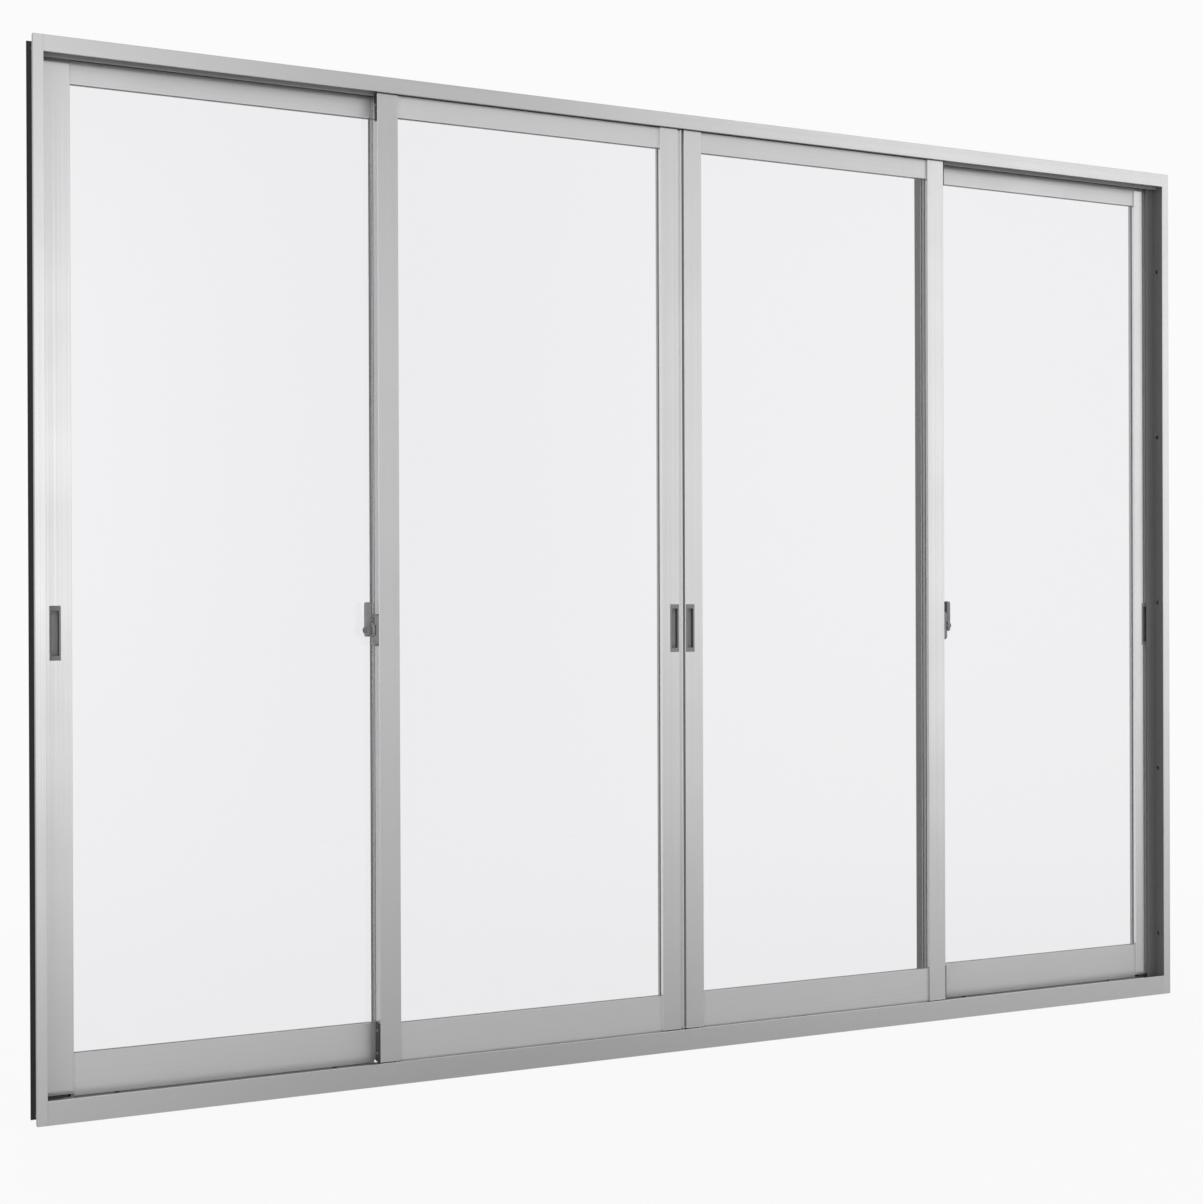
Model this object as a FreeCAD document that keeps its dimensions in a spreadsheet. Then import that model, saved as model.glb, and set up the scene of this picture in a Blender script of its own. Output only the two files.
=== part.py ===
import FreeCAD
import Part
import Sketcher
import math
import os

# Four-leaf glass sliding patio door, seen from indoors along +Y.
# X runs across the opening, +Y points outdoors, +Z points up, all in millimetres.
# The origin lies under the middle of the sill, halfway through the frame's depth.

# Driving dimensions
SIZES = {
    "overall_width": 3000.0,
    "overall_height": 2200.0,
    "trim_thickness": 2.0,
    "trim_return_depth": 12.0,
    "trim_lip": 2.0,
    "trim_arris": 0.8,
    "jamb_trim_width": 21.0,
    "head_trim_height": 34.0,
    "sill_trim_height": 49.0,
    "front_running_gap": 7.0,
    "leaf_thickness": 26.0,
    "leaf_plane_gap": 6.0,
    "rear_running_gap": 6.0,
    "frame_wall": 2.0,
    "frame_inset": 10.0,
    "wall_fin_thickness": 2.0,
    "wall_fin_setback": 8.0,
    "jamb_fin_thickness": 2.0,
    "left_fin_reach": 6.0,
    "right_fin_reach": 28.5,
    "rear_lip_width": 18.0,
    "head_web": 3.0,
    "guide_fin_thickness": 2.0,
    "guide_fin_overlap": 18.0,
    "sill_floor": 2.5,
    "sill_deck_height": 16.5,
    "sill_rear_height": 36.0,
    "track_rail_thickness": 3.0,
    "track_rail_top": 41.7,
    "fixing_hole_diameter": 10.0,
    "fixing_hole_first": 160.0,
    "fixing_hole_last": 260.0,
    "leaf_bottom": 50.0,
    "leaf_head_gap": 22.0,
    "leaf_side_gap": 7.8,
    "meeting_gap": 16.0,
    "meeting_stile_width": 47.5,
    "overlap_stile_width": 49.0,
    "jamb_stile_width": 53.8,
    "stile_wall": 1.8,
    "stile_arris": 1.0,
    "rail_setback": 5.0,
    "rail_thickness": 18.0,
    "top_rail_height": 47.0,
    "bottom_rail_height": 87.0,
    "bottom_rail_drop": 6.0,
    "track_setback": 14.0,
    "guide_slot_width": 8.0,
    "guide_slot_depth": 24.0,
    "roller_slot_width": 12.0,
    "roller_slot_depth": 31.0,
    "glass_thickness": 5.0,
    "glass_setback": 10.5,
    "glass_bite": 10.0,
    "glazing_pocket_depth": 12.0,
    "seal_thickness": 3.0,
    "strip_width": 9.3,
    "strip_edge": 3.0,
    "strip_setback": 5.0,
    "strip_thickness": 2.0,
    "pull_height": 112.0,
    "pull_width": 23.0,
    "pull_centre_height": 993.0,
    "pull_centre_from_glass": 34.5,
    "pull_plate": 0.5,
    "pull_border": 4.0,
    "pull_border_ends": 10.0,
    "pull_recess_depth": 10.0,
    "pull_cup_wall": 1.0,
    "pull_clearance": 0.3,
    "roller_from_end": 90.0,
    "roller_radius": 14.0,
    "roller_groove_depth": 2.5,
    "roller_width": 7.0,
    "roller_running_gap": 0.6,
    "roller_pin_radius": 2.5,
    "carriage_length": 50.0,
    "carriage_clearance": 0.2,
    "wheel_clearance": 1.0,
    "guide_block_inset": 2.0,
    "guide_block_end_gap": 12.0,
    "crescent_height": 994.0,
    "crescent_axis_setback": 17.3,
    "crescent_base_height": 70.0,
    "crescent_base_setback": 1.0,
    "crescent_base_depth": 23.0,
    "crescent_base_thickness": 9.0,
    "crescent_base_radius": 9.0,
    "crescent_boss_radius": 9.0,
    "crescent_waist_height": 22.0,
    "crescent_waist_depth": 2.5,
    "crescent_pin_radius": 4.0,
    "crescent_cap_radius": 6.5,
    "crescent_cap_thickness": 3.5,
    "crescent_cap_gap": 0.5,
    "crescent_gap": 0.8,
    "crescent_fit": 0.3,
    "cam_thickness": 6.0,
    "cam_radius": 20.0,
    "cam_rim": 2.5,
    "cam_hub_radius": 9.0,
    "lever_thickness": 9.0,
    "lever_length": 61.0,
    "lever_tail": 14.0,
    "lever_width": 16.0,
    "lever_corner_radius": 6.5,
    "keeper_plate": 4.0,
    "keeper_height": 40.0,
    "keeper_tongue_height": 5.0,
    "keeper_tongue_thickness": 2.0,
    "keeper_tongue_gap": 1.6,
    "keeper_end_gap": 1.0,
    "keeper_depth": 7.0,
    "edge_cap_thickness": 2.0,
    "edge_cap_top_height": 60.0,
    "edge_cap_bottom_height": 85.0,
}

FIXING_HOLES = 5

# Corners of the lock's cam, in degrees from outdoors, counterclockwise
CAM_RIM_START = 110.0
CAM_MOUTH = 225.0
CAM_WEB_AT_RIM = 160.0
CAM_WEB_AT_HUB = 165.0
CAM_HUB_LOW = 300.0
CAM_HUB_TOP = 75.0

doc = FreeCAD.newDocument("patio_door")
sheet = doc.addObject("Spreadsheet::Sheet", "Sizes")
for row, (alias, value) in enumerate(SIZES.items(), start=1):
    sheet.set("A%d" % row, alias)
    sheet.set("B%d" % row, "%g" % value)
    sheet.setAlias("B%d" % row, alias)
doc.recompute()


class Length:
    """A size with its number and the sheet formula that gives it."""

    def __init__(self, number, formula):
        self.number = float(number)
        self.formula = formula

    def __add__(self, other):
        other = length(other)
        return Length(self.number + other.number, "(%s + %s)" % (self.formula, other.formula))

    def __sub__(self, other):
        other = length(other)
        return Length(self.number - other.number, "(%s - %s)" % (self.formula, other.formula))

    def __mul__(self, factor):
        return Length(self.number * factor, "(%s * %g)" % (self.formula, factor))

    def __truediv__(self, divisor):
        return Length(self.number / divisor, "(%s / %g)" % (self.formula, divisor))

    def __neg__(self):
        return Length(-self.number, "(0 - %s)" % self.formula)

    __rmul__ = __mul__


def length(value):
    """Turn a sheet alias or a plain number into a Length."""
    if isinstance(value, Length):
        return value
    if isinstance(value, str):
        return Length(SIZES[value], "Sizes." + value)
    return Length(value, "%g" % value)


def bind(obj, prop, value):
    """Give a property its formula from the sheet."""
    obj.setExpression(prop, length(value).formula)


# Derived places, worked out from the driving dimensions
half_width = length("overall_width") / 2
frame_depth = (
    length("trim_thickness") + "front_running_gap" + "leaf_thickness" + "leaf_plane_gap"
    + "leaf_thickness" + "rear_running_gap" + "frame_wall"
)
front_y = -(frame_depth / 2)
body_front_y = front_y + "trim_thickness"
rear_y = frame_depth / 2
rear_lip_y = rear_y - "frame_wall"
front_leaf_y = body_front_y + "front_running_gap"
rear_leaf_y = front_leaf_y + "leaf_thickness" + "leaf_plane_gap"
wall_fin_y = rear_y - "wall_fin_setback"
jamb_inner = half_width - "jamb_trim_width"
head_web_top = length("overall_height") - "frame_inset"
head_web_bottom = head_web_top - "head_web"
head_trim_bottom = length("overall_height") - "head_trim_height"
leaf_top = head_web_bottom - "leaf_head_gap"
rail_bottom = length("leaf_bottom") - "bottom_rail_drop"
opening_bottom = rail_bottom + "bottom_rail_height"
opening_top = leaf_top - "top_rail_height"
guide_fin_bottom = leaf_top - "guide_fin_overlap"
seal_front = length("glass_setback") - "seal_thickness"
seal_back = length("glass_setback") + "glass_thickness" + "seal_thickness"
front_track_y = front_leaf_y + "track_setback"
rear_track_y = rear_leaf_y + "track_setback"
front_leaf_inner = length("meeting_gap") / 2
rear_leaf_outer = jamb_inner - "leaf_side_gap"
clear_width = (
    rear_leaf_outer - "jamb_stile_width" - "overlap_stile_width" - "meeting_stile_width"
    - front_leaf_inner
) / 2
front_leaf_outer = front_leaf_inner + "meeting_stile_width" + clear_width + "overlap_stile_width"
rear_leaf_inner = front_leaf_outer - "overlap_stile_width"

parts = {}


def origin_plane(body, role):
    """Find one of a body's own base planes."""
    for feature in body.Origin.OriginFeatures:
        if feature.Role == role:
            return feature
    raise RuntimeError("no plane " + role)


def add_body(label, place=(0, 0, 0)):
    """Start a body whose local origin sits at the given place."""
    body = doc.addObject("PartDesign::Body", label)
    body.Label = label
    for axis, value in zip("xyz", place):
        bind(body, "Placement.Base." + axis, value)
    return body


def add_sketch(body, name, role, offset=0):
    """Attach a sketch to a base plane of its body, moved along the plane's normal."""
    sketch = body.newObject("Sketcher::SketchObject", name)
    sketch.AttachmentSupport = [(origin_plane(body, role), "")]
    sketch.MapMode = "FlatFace"
    bind(sketch, "AttachmentOffset.Base.z", offset)
    return sketch


def draw_outline(sketch, corners):
    """Draw a closed outline whose corners are held by sheet formulas.

    A corner is (across, up). With a third value, an arc of that radius leads from it
    to the next corner, counterclockwise, or clockwise where the radius is negative.
    """
    first = sketch.GeometryCount
    places = [(length(corner[0]), length(corner[1])) for corner in corners]
    ends = []
    for index, (across, up) in enumerate(places):
        next_across, next_up = places[(index + 1) % len(places)]
        spot = FreeCAD.Vector(across.number, up.number, 0)
        following = FreeCAD.Vector(next_across.number, next_up.number, 0)
        if len(corners[index]) == 2:
            sketch.addGeometry(Part.LineSegment(spot, following), False)
            ends.append((1, 2))
            continue
        radius = length(corners[index][2])
        if radius.number > 0:
            edge = sketch.addGeometry(short_arc(spot, following, radius.number), False)
            ends.append((1, 2))
        else:
            radius = -radius
            edge = sketch.addGeometry(short_arc(following, spot, radius.number), False)
            ends.append((2, 1))
        hold_radius(sketch, edge, radius)
    for index, (across, up) in enumerate(places):
        following = (index + 1) % len(places)
        sketch.addConstraint(Sketcher.Constraint(
            "Coincident", first + index, ends[index][1], first + following, ends[following][0]))
        hold_point(sketch, first + index, ends[index][0], across, up)


def short_arc(start, end, radius):
    """Counterclockwise arc of under half a turn between two points."""
    chord = end - start
    rise = math.sqrt(max(radius ** 2 - (chord.Length / 2) ** 2, 0.0))
    across = FreeCAD.Vector(-chord.y, chord.x, 0).normalize()
    centre = (start + end) * 0.5 + across * rise
    angles = [math.atan2(spot.y - centre.y, spot.x - centre.x) for spot in (start, end)]
    return Part.ArcOfCircle(Part.Circle(centre, FreeCAD.Vector(0, 0, 1), radius), *angles)


def hold_radius(sketch, edge, radius):
    """Give a circle or an arc its radius from the sheet."""
    number = sketch.addConstraint(Sketcher.Constraint("Radius", edge, radius.number))
    sketch.setExpression("Constraints[%d]" % number, radius.formula)


def hold_point(sketch, geometry, vertex, across, up):
    """Pin a sketch point to two sheet formulas."""
    for kind, value in (("DistanceX", across), ("DistanceY", up)):
        number = sketch.addConstraint(Sketcher.Constraint(kind, -1, 1, geometry, vertex, value.number))
        sketch.setExpression("Constraints[%d]" % number, value.formula)


def draw_circle(sketch, across, up, radius):
    """Draw a circle held by sheet formulas."""
    across, up, radius = length(across), length(up), length(radius)
    middle = FreeCAD.Vector(across.number, up.number, 0)
    circle = sketch.addGeometry(Part.Circle(middle, FreeCAD.Vector(0, 0, 1), radius.number), False)
    hold_radius(sketch, circle, radius)
    hold_point(sketch, circle, 3, across, up)


def rectangle(left, right, low, high):
    """Corner points of an upright rectangle."""
    return [(left, low), (right, low), (right, high), (left, high)]


def rounded(half, low, high, radius):
    """Corner points of an upright rectangle with rounded corners, centred across."""
    half, low, high, radius = length(half), length(low), length(high), length(radius)
    return [
        (radius - half, low),
        (half - radius, low, radius),
        (half, low + radius),
        (half, high - radius, radius),
        (half - radius, high),
        (radius - half, high, radius),
        (-half, high - radius),
        (-half, low + radius, radius),
    ]


def around(radius, degrees):
    """Point at an angle on a circle about the sketch's origin."""
    turn = math.radians(degrees)
    return (length(radius) * math.cos(turn), length(radius) * math.sin(turn))


def pad(body, sketch, name, size, backwards=False):
    """Extrude a sketch along its normal."""
    feature = body.newObject("PartDesign::Pad", name)
    feature.Profile = sketch
    feature.Reversed = backwards
    bind(feature, "Length", size)
    body.Tip = feature
    return feature


def pocket(body, sketch, name, size=None, backwards=False):
    """Cut a sketch into the body, right through when no size is given."""
    before = body.Shape.Volume if body.Shape and not body.Shape.isNull() else 0
    if not before:
        doc.recompute()
        before = body.Shape.Volume
    feature = body.newObject("PartDesign::Pocket", name)
    feature.Profile = sketch
    feature.Reversed = backwards
    if size is None:
        feature.Type = "ThroughAll"
        feature.Midplane = True
    else:
        bind(feature, "Length", size)
    body.Tip = feature
    doc.recompute()
    if body.Shape.Volume >= before:
        raise RuntimeError("%s cuts nothing in %s" % (name, body.Label))
    return feature


def keep(label, obj):
    """Remember the object that becomes a part of the door."""
    parts[label] = obj


# Frame

def jamb(label, side, fin_reach):
    """Hollow side channel with a fin between the tracks and a lip behind the rear leaf."""
    body = add_body(label)

    def across(from_edge):
        return side * (half_width - from_edge)

    wall = length("frame_wall")
    inset = length("frame_inset")
    inner = length("jamb_trim_width")
    section = add_sketch(body, label + "_section", "XY_Plane")
    draw_outline(section, [
        (across(inset), body_front_y),
        (across(inner), body_front_y),
        (across(inner), rear_y),
        (across(inset), rear_y),
        (across(inset), wall_fin_y),
        (across(length(0)), wall_fin_y),
        (across(length(0)), wall_fin_y - "wall_fin_thickness"),
        (across(inset), wall_fin_y - "wall_fin_thickness"),
    ])
    draw_outline(section, rectangle(
        across(inset + wall), across(inner - wall), body_front_y + wall, rear_y - wall))
    pad(body, section, label + "_channel", "overall_height")

    fin_back = front_leaf_y + "leaf_thickness"
    fin = add_sketch(body, label + "_fin_section", "XY_Plane", "sill_deck_height")
    draw_outline(fin, rectangle(
        across(inner), across(inner + fin_reach), fin_back - "jamb_fin_thickness", fin_back))
    pad(body, fin, label + "_fin", head_web_bottom - "sill_deck_height")

    lip = add_sketch(body, label + "_lip_section", "XY_Plane", "sill_rear_height")
    draw_outline(lip, rectangle(
        across(inner), across(inner + "rear_lip_width"), rear_lip_y, rear_y))
    pad(body, lip, label + "_lip", head_trim_bottom - "rear_lip_width" - "sill_rear_height")

    holes = add_sketch(body, label + "_hole", "YZ_Plane", side * half_width)
    draw_circle(holes, front_track_y, "fixing_hole_first", length("fixing_hole_diameter") / 2)
    cut = pocket(body, holes, label + "_fixing_hole", "jamb_trim_width", side < 0)
    pattern = body.newObject("PartDesign::LinearPattern", label + "_fixing_holes")
    pattern.Originals = [cut]
    pattern.Direction = (holes, ["V_Axis"])
    bind(pattern, "Length", length("overall_height") - "fixing_hole_first" - "fixing_hole_last")
    pattern.Occurrences = FIXING_HOLES
    body.Tip = pattern
    keep(label, body)


def head_track():
    """Top channel with one guide fin above each leaf plane."""
    label = "head_track"
    body = add_body(label)
    fin = length("guide_fin_thickness") / 2
    leg_bottom = head_trim_bottom + "trim_lip"
    section = add_sketch(body, label + "_section", "YZ_Plane", -jamb_inner)
    draw_outline(section, [
        (body_front_y, head_web_top),
        (body_front_y, leg_bottom),
        (body_front_y + "frame_wall", leg_bottom),
        (body_front_y + "frame_wall", head_web_bottom),
        (front_track_y - fin, head_web_bottom),
        (front_track_y - fin, guide_fin_bottom),
        (front_track_y + fin, guide_fin_bottom),
        (front_track_y + fin, head_web_bottom),
        (rear_track_y - fin, head_web_bottom),
        (rear_track_y - fin, guide_fin_bottom),
        (rear_track_y + fin, guide_fin_bottom),
        (rear_track_y + fin, head_web_bottom),
        (rear_lip_y, head_web_bottom),
        (rear_lip_y, head_trim_bottom - "rear_lip_width"),
        (rear_y, head_trim_bottom - "rear_lip_width"),
        (rear_y, head_web_top),
        (wall_fin_y, head_web_top),
        (wall_fin_y, "overall_height"),
        (wall_fin_y - "wall_fin_thickness", "overall_height"),
        (wall_fin_y - "wall_fin_thickness", head_web_top),
    ])
    pad(body, section, label + "_channel", jamb_inner * 2)
    keep(label, body)


def sill_track():
    """Hollow bottom channel with one raised rail under each leaf plane."""
    label = "sill_track"
    body = add_body(label)
    half_rail = length("track_rail_thickness") / 2
    wall = length("frame_wall")
    deck = length("sill_deck_height")
    floor = length("sill_floor")
    front_wall_top = length("sill_trim_height") - "trim_lip"
    section = add_sketch(body, label + "_section", "YZ_Plane", -jamb_inner)
    outline = [(body_front_y, 0), (body_front_y, front_wall_top), (body_front_y + wall, front_wall_top)]
    outline.append((body_front_y + wall, deck))
    for track_y in (front_track_y, rear_track_y):
        outline.append((track_y - half_rail, deck))
        outline.append((track_y - half_rail, length("track_rail_top") - half_rail, -half_rail))
        outline.append((track_y, "track_rail_top", -half_rail))
        outline.append((track_y + half_rail, length("track_rail_top") - half_rail))
        outline.append((track_y + half_rail, deck))
    outline.append((rear_lip_y, deck))
    outline.append((rear_lip_y, "sill_rear_height"))
    outline.append((rear_y, "sill_rear_height"))
    outline.append((rear_y, 0))
    draw_outline(section, outline)
    ceiling = deck - wall
    draw_outline(section, rectangle(body_front_y + wall, front_track_y - half_rail, floor, ceiling))
    draw_outline(section, rectangle(front_track_y + half_rail, rear_track_y - half_rail, floor, ceiling))
    draw_outline(section, rectangle(rear_track_y + half_rail, rear_lip_y, floor, ceiling))
    pad(body, section, label + "_channel", jamb_inner * 2)
    keep(label, body)


def jamb_trim(label, side):
    """Flat front cover of a jamb with a return along its outer edge."""
    body = add_body(label)
    outer = side * half_width
    lip = side * (half_width - "trim_lip")
    inner = side * jamb_inner
    arris = length("trim_arris")
    turn = -side * arris
    section = add_sketch(body, label + "_section", "XY_Plane")
    draw_outline(section, [
        (outer + turn, front_y),
        (inner - turn, front_y, turn),
        (inner, front_y + arris),
        (inner, body_front_y),
        (lip, body_front_y),
        (lip, front_y + "trim_return_depth"),
        (outer, front_y + "trim_return_depth"),
        (outer, front_y + arris, turn),
    ])
    pad(body, section, label + "_cover", "overall_height")
    keep(label, body)


def head_trim():
    """Flat front cover of the head with a return on top and a lip below."""
    label = "head_trim"
    body = add_body(label)
    arris = length("trim_arris")
    section = add_sketch(body, label + "_section", "YZ_Plane", -jamb_inner)
    draw_outline(section, [
        (front_y + arris, head_trim_bottom),
        (body_front_y + "frame_wall", head_trim_bottom),
        (body_front_y + "frame_wall", head_trim_bottom + "trim_lip"),
        (body_front_y, head_trim_bottom + "trim_lip"),
        (body_front_y, length("overall_height") - "trim_lip"),
        (front_y + "trim_return_depth", length("overall_height") - "trim_lip"),
        (front_y + "trim_return_depth", "overall_height"),
        (front_y + arris, "overall_height", arris),
        (front_y, length("overall_height") - arris),
        (front_y, head_trim_bottom + arris, arris),
    ])
    pad(body, section, label + "_cover", jamb_inner * 2)
    keep(label, body)


def sill_trim():
    """Flat front cover of the sill with a lip over the channel's front wall."""
    label = "sill_trim"
    body = add_body(label)
    arris = length("trim_arris")
    section = add_sketch(body, label + "_section", "YZ_Plane", -jamb_inner)
    draw_outline(section, [
        (front_y, 0),
        (body_front_y, 0),
        (body_front_y, length("sill_trim_height") - "trim_lip"),
        (body_front_y + "frame_wall", length("sill_trim_height") - "trim_lip"),
        (body_front_y + "frame_wall", "sill_trim_height"),
        (front_y + arris, "sill_trim_height", arris),
        (front_y, length("sill_trim_height") - arris),
    ])
    pad(body, section, label + "_cover", jamb_inner * 2)
    keep(label, body)


# Leaves

def stile(label, edge_x, inward, leaf_y, width, pull=False, strip=False):
    """Hollow upright with a glazing pocket on its inward side.

    edge_x is the outer edge, and inward is +1 or -1 towards the glass.
    """
    body = add_body(label, (edge_x, leaf_y, "leaf_bottom"))
    width = length(width)
    wall = length("stile_wall")
    thick = length("leaf_thickness")
    arris = length("stile_arris")
    pocket_floor = width - "glazing_pocket_depth"

    def mirrored(points):
        turned = []
        for across, deep, *radius in points:
            turned.append((inward * length(across), deep, *[inward * value for value in radius]))
        return turned

    outline = [
        (arris, 0),
        (width - arris, 0, arris),
        (width, arris),
        (width, seal_front),
        (pocket_floor, seal_front),
        (pocket_floor, seal_back),
        (width, seal_back),
        (width, thick - arris, arris),
        (width - arris, thick),
        (arris, thick, arris),
        (0, thick - arris),
    ]
    if strip:
        strip_back = length("strip_setback") + "strip_thickness"
        outline += [
            (0, strip_back),
            (-length("strip_width"), strip_back),
            (-length("strip_width"), 0),
            (length("strip_edge") - "strip_width", 0),
            (length("strip_edge") - "strip_width", "strip_setback"),
            (0, "strip_setback"),
        ]
    outline.append((0, arris, arris))
    section = add_sketch(body, label + "_section", "XY_Plane")
    draw_outline(section, mirrored(outline))
    draw_outline(section, mirrored([
        (wall, wall),
        (width - wall, wall),
        (width - wall, seal_front - wall),
        (pocket_floor - wall, seal_front - wall),
        (pocket_floor - wall, seal_back + wall),
        (width - wall, seal_back + wall),
        (width - wall, thick - wall),
        (wall, thick - wall),
    ]))
    tall = leaf_top - "leaf_bottom"
    pad(body, section, label + "_extrusion", tall)

    half_slot = length("guide_slot_width") / 2
    slot = add_sketch(body, label + "_slot_section", "YZ_Plane")
    draw_outline(slot, rectangle(
        length("track_setback") - half_slot, length("track_setback") + half_slot,
        tall - "guide_slot_depth", tall + wall))
    pocket(body, slot, label + "_guide_slot")

    if pull:
        middle = inward * (width - "pull_centre_from_glass")
        half = length("pull_width") / 2 - "pull_border" + "pull_cup_wall" + "pull_clearance"
        rise = length("pull_height") / 2 - "pull_border_ends" + "pull_cup_wall" + "pull_clearance"
        up = length("pull_centre_height") - "leaf_bottom"
        cutout = add_sketch(body, label + "_pull_section", "XZ_Plane")
        draw_outline(cutout, rectangle(middle - half, middle + half, up - rise, up + rise))
        pocket(body, cutout, label + "_pull_cutout")
    keep(label, body)


def top_rail(label, left_x, leaf_y, clear):
    """Top rail with a guide slot above and a glazing pocket below."""
    body = add_body(label, (left_x, leaf_y, opening_top))
    front = length("rail_setback")
    back = front + "rail_thickness"
    tall = length("top_rail_height")
    half_slot = length("guide_slot_width") / 2
    track = length("track_setback")
    section = add_sketch(body, label + "_section", "YZ_Plane")
    draw_outline(section, [
        (front, 0),
        (seal_front, 0),
        (seal_front, "glazing_pocket_depth"),
        (seal_back, "glazing_pocket_depth"),
        (seal_back, 0),
        (back, 0),
        (back, tall),
        (track + half_slot, tall),
        (track + half_slot, tall - "guide_slot_depth"),
        (track - half_slot, tall - "guide_slot_depth"),
        (track - half_slot, tall),
        (front, tall),
    ])
    pad(body, section, label + "_extrusion", clear)
    keep(label, body)


def bottom_rail(label, left_x, leaf_y, clear):
    """Bottom rail with a roller slot below, a hollow middle and a glazing pocket above."""
    body = add_body(label, (left_x, leaf_y, rail_bottom))
    front = length("rail_setback")
    back = front + "rail_thickness"
    tall = length("bottom_rail_height")
    half_slot = length("roller_slot_width") / 2
    track = length("track_setback")
    slot = length("roller_slot_depth")
    wall = length("stile_wall")
    section = add_sketch(body, label + "_section", "YZ_Plane")
    draw_outline(section, [
        (front, 0),
        (track - half_slot, 0),
        (track - half_slot, slot),
        (track + half_slot, slot),
        (track + half_slot, 0),
        (back, 0),
        (back, tall),
        (seal_back, tall),
        (seal_back, tall - "glazing_pocket_depth"),
        (seal_front, tall - "glazing_pocket_depth"),
        (seal_front, tall),
        (front, tall),
    ])
    draw_outline(section, rectangle(
        front + wall, back - wall, slot + wall, tall - "glazing_pocket_depth" - wall))
    pad(body, section, label + "_extrusion", clear)
    keep(label, body)


def add_box(label, place, size):
    """Plain box whose place and size follow the sheet."""
    box = doc.addObject("Part::Box", label)
    box.Label = label
    for axis, value in zip("xyz", place):
        bind(box, "Placement.Base." + axis, value)
    for prop, value in zip(("Length", "Width", "Height"), size):
        bind(box, prop, value)
    return box


def add_cut(label, base, tool):
    """Cut one shape from another."""
    cut = doc.addObject("Part::Cut", label)
    cut.Label = label
    cut.Base = base
    cut.Tool = tool
    return cut


def glazing(label, left_x, leaf_y, clear):
    """Glass pane and the channel seal that holds it in the pockets."""
    clear_height = opening_top - opening_bottom
    bite = length("glass_bite")
    deep = length("glazing_pocket_depth")
    pane_place = (left_x - bite, leaf_y + "glass_setback", opening_bottom - bite)
    pane_size = (clear + bite * 2, "glass_thickness", clear_height + bite * 2)
    keep(label + "_glass", add_box(label + "_glass", pane_place, pane_size))
    whole = add_box(
        label + "_seal_outer",
        (left_x - deep, leaf_y + seal_front, opening_bottom - deep),
        (clear + deep * 2, seal_back - seal_front, clear_height + deep * 2))
    hole = add_box(
        label + "_seal_opening",
        (left_x, leaf_y + seal_front, opening_bottom),
        (clear, seal_back - seal_front, clear_height))
    slot = add_box(label + "_seal_slot", pane_place, pane_size)
    ring = add_cut(label + "_seal_ring", whole, hole)
    keep(label + "_glazing_seal", add_cut(label + "_glazing_seal", ring, slot))


def pull_cup(label, centre_x, face_y, outwards):
    """Flush finger pull with its plate on a leaf face; outwards is -1 indoors, +1 outdoors."""
    body = add_body(label, (centre_x, face_y, "pull_centre_height"))
    half = length("pull_width") / 2
    rise = length("pull_height") / 2
    inner_half = half - "pull_border"
    inner_rise = rise - "pull_border_ends"
    cup = length("pull_cup_wall")
    indoors = outwards < 0
    plate = add_sketch(body, label + "_plate_outline", "XZ_Plane")
    draw_outline(plate, rectangle(-half, half, -rise, rise))
    pad(body, plate, label + "_plate", "pull_plate", not indoors)
    shell = add_sketch(body, label + "_cup_outline", "XZ_Plane")
    draw_outline(shell, rectangle(
        -(inner_half + cup), inner_half + cup, -(inner_rise + cup), inner_rise + cup))
    pad(body, shell, label + "_cup", length("pull_recess_depth") + cup, indoors)
    doc.recompute()
    proud = length("pull_plate") if indoors else -length("pull_plate")
    recess = add_sketch(body, label + "_recess_outline", "XZ_Plane", proud)
    draw_outline(recess, rectangle(-inner_half, inner_half, -inner_rise, inner_rise))
    pocket(body, recess, label + "_recess", length("pull_recess_depth") + "pull_plate", not indoors)
    return body


def pair(label, first, second):
    """Join two separate solids under one name."""
    both = doc.addObject("Part::Compound", label)
    both.Label = label
    both.Links = [first, second]
    keep(label, both)


def flush_pulls(label, centre_x, leaf_y):
    """One finger pull on the indoor face and one on the outdoor face."""
    indoor = pull_cup(label + "_indoor", centre_x, leaf_y, -1)
    outdoor = pull_cup(label + "_outdoor", centre_x, leaf_y + "leaf_thickness", 1)
    pair(label, indoor, outdoor)


def roller(label, centre_x, leaf_y):
    """Roller carriage: grooved wheel on a pin in a block that fills the rail's slot."""
    groove_radius = length("roller_radius") - "roller_groove_depth"
    axle_height = length("track_rail_top") + "roller_running_gap" + groove_radius
    body = add_body(label, (centre_x, leaf_y + "track_setback", axle_height))
    half_block = length("roller_slot_width") / 2 - "carriage_clearance"
    half_long = length("carriage_length") / 2
    slot_top = rail_bottom + "roller_slot_depth"
    block = add_sketch(body, label + "_block_section", "YZ_Plane", -half_long)
    draw_outline(block, rectangle(
        -half_block, half_block, -length("roller_pin_radius") * 2, slot_top - axle_height))
    pad(body, block, label + "_block", half_long * 2)
    half_wheel = length("roller_width") / 2
    pocket_half = half_wheel + "wheel_clearance"
    pocket_reach = length("roller_radius") + "wheel_clearance"
    space = add_sketch(body, label + "_wheel_space", "XZ_Plane", -pocket_half)
    draw_outline(space, rectangle(-pocket_reach, pocket_reach, -pocket_reach, pocket_reach))
    pocket(body, space, label + "_wheel_pocket", pocket_half * 2, True)
    pin = length("roller_pin_radius")
    wheel = add_sketch(body, label + "_wheel_profile", "XY_Plane")
    draw_outline(wheel, [
        (0, -half_block),
        (pin, -half_block),
        (pin, -half_wheel),
        ("roller_radius", -half_wheel),
        (groove_radius, 0),
        ("roller_radius", half_wheel),
        (pin, half_wheel),
        (pin, half_block),
        (0, half_block),
    ])
    turn = body.newObject("PartDesign::Revolution", label + "_wheel")
    turn.Profile = wheel
    turn.ReferenceAxis = (wheel, ["V_Axis"])
    turn.Angle = 360
    body.Tip = turn
    return body


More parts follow.
